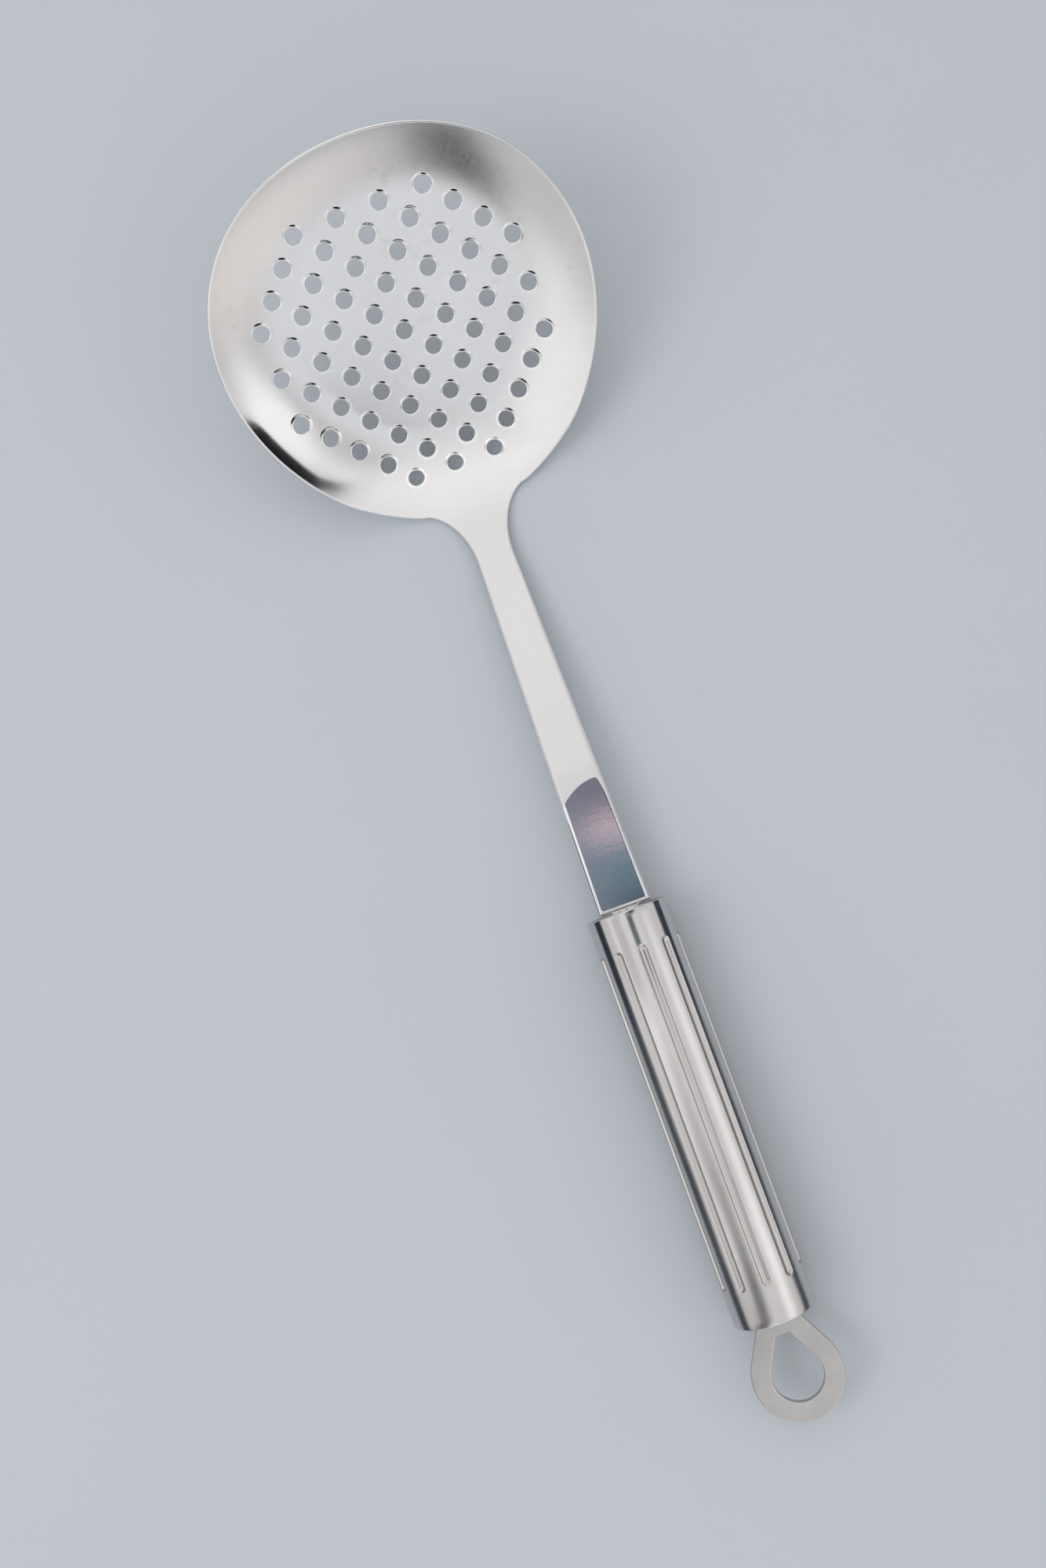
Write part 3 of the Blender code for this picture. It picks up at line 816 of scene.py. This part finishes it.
def banded_paint(name):
    """Lit card whose tone changes along X, from band to band, and fades towards one side."""
    material, tree, shader = new_material(name)
    place = object_place(tree)
    x, y, _ = separated(tree, place)
    first, last = BANDS[0][0], BANDS[-1][0]
    ramp = add(tree, "ShaderNodeValToRGB", {"Fac": remap(tree, x, first, last, 0.0, 1.0)})
    stops = ramp.color_ramp.elements
    stops[0].color = (*BANDS[0][1], 1.0)
    stops[1].color = (*BANDS[-1][1], 1.0)
    for at, tone in BANDS[1:-1]:
        stops.new((at - first) / (last - first)).color = (*tone, 1.0)
    strokes = noise(tree, stretched(tree, place, (110.0, 14.0, 0.0)), 1.0, 3.0, 0.6)
    level = remap(tree, strokes, 0.3, 0.7, 0.7, 1.35)
    aside = remap(tree, y, *BAND_SIDE, 0.0, 0.7, True)
    faded = mixed(tree, aside, ramp.outputs["Color"], BAND_SIDE_TONE)
    replace_surface(tree, shader, add(tree, "ShaderNodeEmission", {"Color": faded, "Strength": level}))
    return material


# ---------------- pieces


def face_normals(mesh, on_face, normals):
    """Keeps the given normals where on_face is true and the mesh's own elsewhere."""
    own = np.empty(len(mesh.vertices) * 3, np.float32)
    mesh.vertex_normals.foreach_get("vector", own)
    chosen = np.where(on_face[:, None], normals, own.reshape(-1, 3))
    mesh.normals_split_custom_set_from_vertices(chosen.tolist())


def points_of(mesh):
    places = np.empty(len(mesh.vertices) * 3, np.float32)
    mesh.vertices.foreach_get("co", places)
    return places.reshape(-1, 3).astype(float)


def note(mesh, name, kind, field, values):
    mesh.attributes.new(name, kind, "POINT").data.foreach_set(field, np.asarray(values, np.float32).ravel())


def round_edge(steps):
    """A full half round, as (share of inset, share of half thickness) from the top face to the bottom."""
    angles = np.linspace(math.pi / 2.0, -math.pi / 2.0, steps + 1)
    return [(1.0 - math.cos(a), math.sin(a)) for a in angles]


def eased_edge(half, ease, steps):
    """Rounded arrises with a straight side between, as (share of inset, height)."""
    angles = np.linspace(math.pi / 2.0, 0.0, steps + 1)
    top = [(1.0 - math.cos(a), half - ease * (1.0 - math.sin(a))) for a in angles]
    return top + [(share, -height) for share, height in reversed(top)]


def flat_blank():
    """The sheet before pressing: outline with a half-round rim, holes cut to the lips' outer size, and a
    marked point in the middle of each hole."""
    outline = sheet_outline()
    half = BOWL_THICK / 2.0
    normals = outward(outline)
    along, sideways = slopes(-outline[:, 0], outline[:, 1])
    steep = -along * normals[:, 0] + sideways * normals[:, 1]
    inset = half * thickness(-outline[:, 0]) / np.sqrt(1.0 + steep**2)
    inset = np.minimum(inset, 0.3 * MM + 0.8 * np.abs(SHOULDER_BACK + outline[:, 0]))
    holes = hole_places()
    cuts = [circle(hole, HOLE_RADIUS + LIP_WIDTH, LIP_SIDES) for hole in holes]
    inner = outline - normals * inset[:, None]
    low, high = inner.min(axis=0), inner.max(axis=0)
    rows = np.arange(low[1], high[1], SHEET_STEP * math.sqrt(3.0) / 2.0)
    grid = []
    for k, v in enumerate(rows):
        us = np.arange(low[0] + (k % 2) * SHEET_STEP / 2.0, high[0], SHEET_STEP)
        grid.append(pairs(us, v))
    grid = np.concatenate(grid)
    grid = grid[np.abs(-grid[:, 0] - SHOULDER_BACK + END_ROUND / 2.0) > END_ROUND]
    grid = grid[inside(inner, grid)]
    grid = grid[clear_of(inner, grid, RIM_ROOM)]
    grid = grid[clear_of(holes, grid, HOLE_RADIUS + LIP_WIDTH + HOLE_ROOM)]
    across, past = np.meshgrid(np.arange(-SHANK_HALF, SHANK_HALF, END_STEP), END_ROWS)
    ending = pairs(-SHOULDER_BACK + END_ROUND * (1.0 - past.ravel()), across.ravel())
    ending = ending[inside(inner, ending)]
    grid = np.concatenate([grid, ending[clear_of(inner, ending, END_ROOM)]])
    rim = [(share, height * half) for share, height in round_edge(RIM_STEPS)]
    vertices, faces = plate([outline] + cuts, [inset] + [None] * len(cuts), rim, half, grid)
    solid = len(vertices)
    vertices += [(u, v, 0.0) for u, v in holes]
    mesh = plain_mesh("bowl_and_shank", vertices, faces)
    marks = mesh.attributes.new("hole_place", "BOOLEAN", "POINT")
    marks.data.foreach_set("value", [i >= solid for i in range(len(vertices))])
    return mesh


def to_holes(places):
    """How far each place of the flat blank is from the edge of its nearest hole."""
    nearest = np.full(len(places), 1.0)
    for u, v in hole_places():
        nearest = np.minimum(nearest, np.hypot(places[:, 0] - u, places[:, 1] - v))
    return nearest - HOLE_RADIUS


def bowl_and_shank(finish):
    """The pressed sheet: flat blank, lips rolled into its holes, then pressed to shape."""
    half = BOWL_THICK / 2.0
    sizes = {
        "Hole radius": HOLE_RADIUS,
        "Lip width": LIP_WIDTH,
        "Edge radius": LIP_ROUND,
        "Bead height": LIP_BEAD,
        "Bead turn": BEAD_TURN,
        "Half thickness": half,
        "Sides": LIP_SIDES,
        "Steps": LIP_STEPS,
        "Weld": WELD,
    }
    mesh = shaped(flat_blank(), lip_tree(sizes), sizes, finish)
    flat = points_of(mesh)
    places, normals = pressed(*flat.T)
    mesh.vertices.foreach_set("co", places.astype(np.float32).ravel())
    mesh.update()
    before_end = -flat[:, 0] < SHOULDER_BACK - END_ROUND + WELD
    on_face = (np.abs(np.abs(flat[:, 2]) - half) < WELD) & before_end
    face_normals(mesh, on_face, normals * np.sign(flat[:, 2])[:, None])
    note(mesh, "flat_place", "FLOAT_VECTOR", "vector", flat)
    note(mesh, "edge", "FLOAT", "value", np.maximum(0.0, 1.0 - np.abs(flat[:, 2]) / half))
    note(mesh, "from_hole", "FLOAT", "value", to_holes(flat) / LIP_WIDTH)
    return mesh


def plain_tube():
    """The handle tube before its flutes: rounded ends and a bore, with points gathered where flutes come."""
    bore = TUBE_RADIUS - TUBE_WALL
    bends = np.linspace(0.0, math.pi / 2.0, 6)
    rear = [
        (TUBE_EDGE * (1.0 - math.sin(a)), TUBE_RADIUS - TUBE_EDGE * (1.0 - math.cos(a))) for a in bends[::-1]
    ]
    ends = FLUTE_WIDTH / 2.0 * np.array(FLUTE_ENDS)
    band = [TUBE_EDGE + 1.5 * MM, 5.0 * MM]
    middle = np.linspace(FLUTE_START + 6.0 * MM, FLUTE_END - 6.0 * MM, 10)
    runs = [*band, *(FLUTE_START + ends), *middle, *(FLUTE_END - ends)[::-1]]
    runs += [TUBE_LENGTH - x for x in reversed(band)]
    front = [(TUBE_LENGTH - x, r) for x, r in reversed(rear)]
    profile = rear + [(x, TUBE_RADIUS) for x in runs] + front
    profile += [(TUBE_LENGTH, bore), (TUBE_LENGTH / 2.0, bore), (0.0, bore)]
    pitch = 2.0 * math.pi / FLUTE_COUNT
    half = FLUTE_WIDTH / 2.0 / TUBE_RADIUS
    side = [*(half * np.array(FLUTE_SIDES)), *np.linspace(1.45 * half, pitch / 2.0, 4)]
    across = [-a for a in side[:0:-1]] + side[:-1]
    angles = [FLUTE_TURN + k * pitch + a for k in range(FLUTE_COUNT) for a in across]
    vertices = [(x, r * math.sin(a), r * math.cos(a)) for x, r in profile for a in angles]
    rows, wide = len(profile), len(angles)
    faces = []
    for i in range(rows):
        for j in range(wide):
            here, there = i * wide, (i + 1) % rows * wide
            faces.append((here + j, there + j, there + (j + 1) % wide, here + (j + 1) % wide))
    return plain_mesh("handle_tube", vertices, faces)


def handle_tube(finish):
    sizes = {
        "Radius": TUBE_RADIUS,
        "Flutes": FLUTE_COUNT,
        "Flute width": FLUTE_WIDTH,
        "Flute depth": FLUTE_DEPTH,
        "First end": FLUTE_START,
        "Last end": FLUTE_END,
        "Turn": FLUTE_TURN,
        "Wall": TUBE_WALL,
    }
    mesh = shaped(plain_tube(), flute_tree(sizes), sizes, finish)
    mesh.transform(Matrix.Translation(HANDLE_PLACE))
    return mesh


def flat_plate(name, loops, half, ease, finish, place):
    """A flat plate with eased edges, set in its place."""
    insets = [np.full(len(loop), ease) for loop in loops]
    vertices, faces = plate(loops, insets, eased_edge(half, ease, EASE_STEPS), half, np.zeros((0, 2)))
    mesh = plain_mesh(name, vertices, faces)
    welded = bpy.data.meshes.new(name)
    shape = bmesh.new()
    shape.from_mesh(mesh)
    bmesh.ops.remove_doubles(shape, verts=shape.verts, dist=WELD)
    shape.to_mesh(welded)
    shape.free()
    bpy.data.meshes.remove(mesh)
    welded.polygons.foreach_set("use_smooth", [True] * len(welded.polygons))
    flat = points_of(welded)
    on_face = np.abs(flat[:, 2]) > half - WELD
    face_normals(welded, on_face, np.sign(flat[:, 2])[:, None] * np.array([[0.0, 0.0, 1.0]]))
    note(welded, "edge", "FLOAT", "value", np.where(on_face, 0.0, 1.0))
    welded.materials.append(finish)
    welded.transform(place)
    return welded


def tangent_angle(x, y, centre_x, radius):
    """Angle from -X where the line through (x, y) touches the circle about (centre_x, 0)."""
    away = Vector((x - centre_x, y))
    return math.pi - math.atan2(away.y, away.x) - math.acos(radius / away.length)


def arc(centre_x, radius, start, stop, steps):
    angles = np.linspace(start, stop, steps + 1)
    return pairs(centre_x - radius * np.cos(angles), radius * np.sin(angles))


def hanging_loop(finish):
    outer = tangent_angle(0.0, LOOP_TANG_HALF, LOOP_CENTRE_X, LOOP_OUTER)
    outline = np.concatenate(
        [
            arc(LOOP_CENTRE_X, LOOP_OUTER, outer, -outer, 96),
            [(0.0, -LOOP_TANG_HALF), (LOOP_TANG_X, -LOOP_TANG_HALF)],
            [(LOOP_TANG_X, LOOP_TANG_HALF), (0.0, LOOP_TANG_HALF)],
        ]
    )
    eye = tangent_angle(EYE_TOP_X, EYE_TOP_HALF, LOOP_CENTRE_X, LOOP_EYE)
    opening = np.concatenate(
        [
            arc(LOOP_CENTRE_X, LOOP_EYE, -eye, eye, 72),
            [(EYE_TOP_X, EYE_TOP_HALF), (EYE_TOP_X, -EYE_TOP_HALF)],
        ]
    )
    place = Matrix.Translation(HANDLE_PLACE)
    return flat_plate("hanging_loop", [outline, opening], LOOP_THICK / 2.0, LOOP_EASE, finish, place)


def end_cap(name, middle_x, slot_half, slot_thick, finish):
    """A disc across the tube with a slot for the tang."""
    across = slot_thick / 2.0 + FIT_GAP
    wide = slot_half + FIT_GAP
    slot = np.array([(-across, -wide), (-across, wide), (across, wide), (across, -wide)])
    middle = HANDLE_PLACE + Vector((middle_x, 0.0, 0.0))
    place = Matrix.Translation(middle) @ Matrix.Rotation(math.pi / 2.0, 4, "Y")
    loops = [circle((0.0, 0.0), CAP_RADIUS, 96), slot]
    return flat_plate(name, loops, CAP_THICK / 2.0, CAP_EASE, finish, place)


def set_piece(mesh, node):
    """Puts a finished mesh in the scene in place of its CAD node."""
    made = bpy.data.objects.new(node + "_dressed", mesh)
    bpy.context.scene.collection.objects.link(made)
    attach(made, "root")
    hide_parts(node)
    return made


# ---------------- stage


def turned(place, aim, roll):
    """Matrix that sets a flat thing at a place, facing a point: local X level or along world X, then rolled."""
    face = (Vector(aim) - Vector(place)).normalized()
    side = Vector((0.0, 0.0, 1.0)).cross(face) if abs(face.z) < 0.97 else Vector((1.0, 0.0, 0.0))
    side.normalize()
    turn = Matrix((side, face.cross(side), face)).transposed().to_4x4()
    return Matrix.Translation(place) @ turn @ Matrix.Rotation(roll, 4, "Z")


def on_stage(mesh, material):
    """Puts a thing of the stage in the scene."""
    mesh.materials.append(material)
    made = bpy.data.objects.new(mesh.name, mesh)
    bpy.context.scene.collection.objects.link(made)
    return made


def only_mirrored(made):
    """Hides a card from everything but reflections."""
    made.visible_camera = False
    made.visible_diffuse = False
    made.visible_shadow = False


def feathered_sheet(name, place, aim, wide, tall, material, roll=0.0):
    """A sheet for the steel to mirror that fades out towards its border."""
    steps = np.linspace(-1.0, 1.0, SHEET_CELLS + 1)
    x, y = (axis.ravel() for axis in np.meshgrid(steps, steps))
    vertices = np.stack([x * wide / 2.0, y * tall / 2.0, np.zeros_like(x)], axis=1)
    row = SHEET_CELLS + 1
    corners = [j * row + i for j in range(SHEET_CELLS) for i in range(SHEET_CELLS)]
    mesh = plain_mesh(name, vertices, [(c, c + 1, c + row + 1, c + row) for c in corners])
    mesh.transform(turned(place, aim, roll))
    fade = smoothstep(0.0, FEATHER, 1.0 - np.abs(x)) * smoothstep(0.0, FEATHER, 1.0 - np.abs(y))
    note(mesh, "fade", "FLOAT", "value", fade)
    made = on_stage(mesh, material)
    made.visible_camera = False
    return made


def light_sheet(name, place, aim, wide, tall, radiance, colour):
    """A soft light without a hard border."""
    feathered_sheet(name, place, aim, wide, tall, glow_paint(name, colour, radiance))


def shade_sheet(name, place, aim, wide, tall, depth, roll=0.0):
    """A soft dark place without a hard border."""
    only_mirrored(feathered_sheet(name, place, aim, wide, tall, shade_paint(name, depth), roll))


def towards(azimuth, zenith, distance):
    """A point seen from the bowl: azimuth from +X towards +Y, zenith from straight up, in degrees."""
    around, down = math.radians(azimuth), math.radians(zenith)
    away = Vector((math.cos(around) * math.sin(down), math.sin(around) * math.sin(down), math.cos(down)))
    return BOWL_MIDDLE + away * distance


def rounded_card(wide, tall, corner):
    """Outline of a card with rounded corners about its middle."""
    points = []
    for k, (x, y) in enumerate(((1, 1), (-1, 1), (-1, -1), (1, -1))):
        x, y = x * (wide / 2.0 - corner), y * (tall / 2.0 - corner)
        for angle in np.linspace(k * math.pi / 2.0, (k + 1) * math.pi / 2.0, 9):
            points.append((x + corner * math.cos(angle), y + corner * math.sin(angle), 0.0))
    return points


def card(name, place, aim, wide, tall, corner, material, roll=0.0):
    """A flat card for the steel to mirror, turned to face a point."""
    outline = rounded_card(wide, tall, corner)
    mesh = plain_mesh(name, outline, [tuple(range(len(outline)))])
    mesh.transform(turned(place, aim, roll))
    only_mirrored(on_stage(mesh, material))


def floor_lamp():
    """Soft lamp that gives the floor its shadow, its back turned outwards. The steel doesn't mirror it."""
    lamp = bpy.data.lights.new("soft_lamp", "AREA")
    lamp.shape = "DISK"
    lamp.size = 0.5
    lamp.energy = 1.6
    made = bpy.data.objects.new("soft_lamp", lamp)
    place = Vector((0.02, 0.60, 0.80))
    made.matrix_world = turned(place, place * 2.0, 0.0)
    made.visible_glossy = False
    bpy.context.scene.collection.objects.link(made)


def studio():
    """Floor, lamp, and the cards and sheets that the steel mirrors, each with place, aim, width and height."""
    on_stage(plain_mesh("floor", FLOOR_CORNERS, [(0, 1, 2, 3)]), floor_paint())
    floor_lamp()
    black = card_paint("black_card", (0.02, 0.02, 0.024))
    dusk = card_paint("dusk_card", (0.05, 0.065, 0.09))
    bands = banded_paint("banded_card")
    over = Vector((0.0025, -0.045, 0.911))
    card("overhead_card", over, over - Vector((0.0, 0.0, 1.0)), 0.235, 0.25, 0.03, bands)
    card("rim_card", (0.0574, -0.1919, 0.2), (0.114, 0.043, 0.022), 0.10, 0.044, 0.02, black, RIM_CARD_ROLL)
    card("lip_card", (0.042, -0.075, 0.302), BOWL_MIDDLE, 0.12, 0.11, 0.04, black)
    card("left_flag", (-0.10, 0.06, 0.0125), (-0.10, 0.0, 0.0125), 0.20, 0.025, 0.01, dusk)
    card("right_flag", (-0.10, -0.06, 0.012), (-0.10, 0.0, 0.012), 0.20, 0.024, 0.01, dusk)
    shade_sheet("tip_shade", (-0.188, 0.077, 0.138), BOWL_TIP, 0.10, 0.28, 0.92, TIP_SHADE_ROLL)
    shade_sheet("front_shade", (-0.042, 0.052, 0.086), (-0.037, 0.0, 0.02), 0.07, 0.06, 0.40)
    shade_sheet("side_shade", (-0.13, 0.07, 0.147), (-0.095, 0.0, 0.02), 0.12, 0.12, 0.46)
    light_sheet("overhead_sheet", (0.1, 0.0, 1.4), (0.1, 0.0, 0.0), 2.0, 2.0, 0.22, (1.0, 1.0, 1.0))
    light_sheet("front_sheet", towards(0.0, 30.0, 1.4), BOWL_MIDDLE, 1.3, 1.2, 0.55, (1.0, 1.0, 1.0))
    light_sheet("key_sheet", towards(118.0, 42.0, 1.3), BOWL_MIDDLE, 2.2, 1.1, 0.46, (1.0, 0.99, 0.96))
    light_sheet("top_sheet", towards(180.0, 50.0, 1.4), BOWL_MIDDLE, 1.3, 1.0, 0.26, (0.82, 0.88, 1.0))
    light_sheet("rear_sheet", towards(-160.0, 74.0, 1.4), BOWL_MIDDLE, 1.7, 0.9, 0.30, (1.0, 0.78, 0.65))
    light_sheet("side_sheet", (-0.45, -0.85, 0.85), HANDLE_PLACE, 1.1, 0.8, 0.60, (1.0, 0.98, 0.96))
    world = bpy.data.worlds.new("studio")
    world.use_nodes = True
    sky = world.node_tree.nodes["Background"].inputs
    sky["Color"].default_value = (*WORLD_TONE, 1.0)
    sky["Strength"].default_value = WORLD_LEVEL
    bpy.context.scene.world = world
    bpy.context.scene.view_settings.view_transform = "Standard"


def photo_camera():
    """Camera at the photograph's viewing angle: place and axes in the model's frame."""
    lens = bpy.data.cameras.new("photo_camera")
    lens.sensor_width = 36.0
    lens.lens = 31.18
    lens.clip_start = 0.01
    right = Vector((-0.34218, -0.93525, -0.09067))
    up = Vector((0.93467, -0.34869, 0.06937))
    away = Vector((-0.0965, -0.06101, 0.99346))
    turn = Matrix((right, up, away)).transposed().to_4x4()
    made = bpy.data.objects.new("photo_camera", lens)
    made.matrix_world = Matrix.Translation(HANDLE_PLACE + Vector((115.316, -8.112, 361.955)) * MM) @ turn
    bpy.context.scene.collection.objects.link(made)
    bpy.context.scene.camera = made


photo_camera()
studio()
cap_finish = turned_steel()
set_piece(bowl_and_shank(satin_steel()), "bowl_and_shank")
set_piece(handle_tube(fluted_steel()), "handle_tube")
front_x = TUBE_LENGTH - CAP_INSET - CAP_THICK / 2.0
rear_x = CAP_INSET + CAP_THICK / 2.0
set_piece(end_cap("front_cap", front_x, TANG_HALF, TANG_THICK, cap_finish), "front_cap")
set_piece(end_cap("rear_cap", rear_x, LOOP_TANG_HALF, LOOP_THICK, cap_finish), "rear_cap")
set_piece(hanging_loop(matt_steel()), "hanging_loop")

bpy.context.view_layer.update()
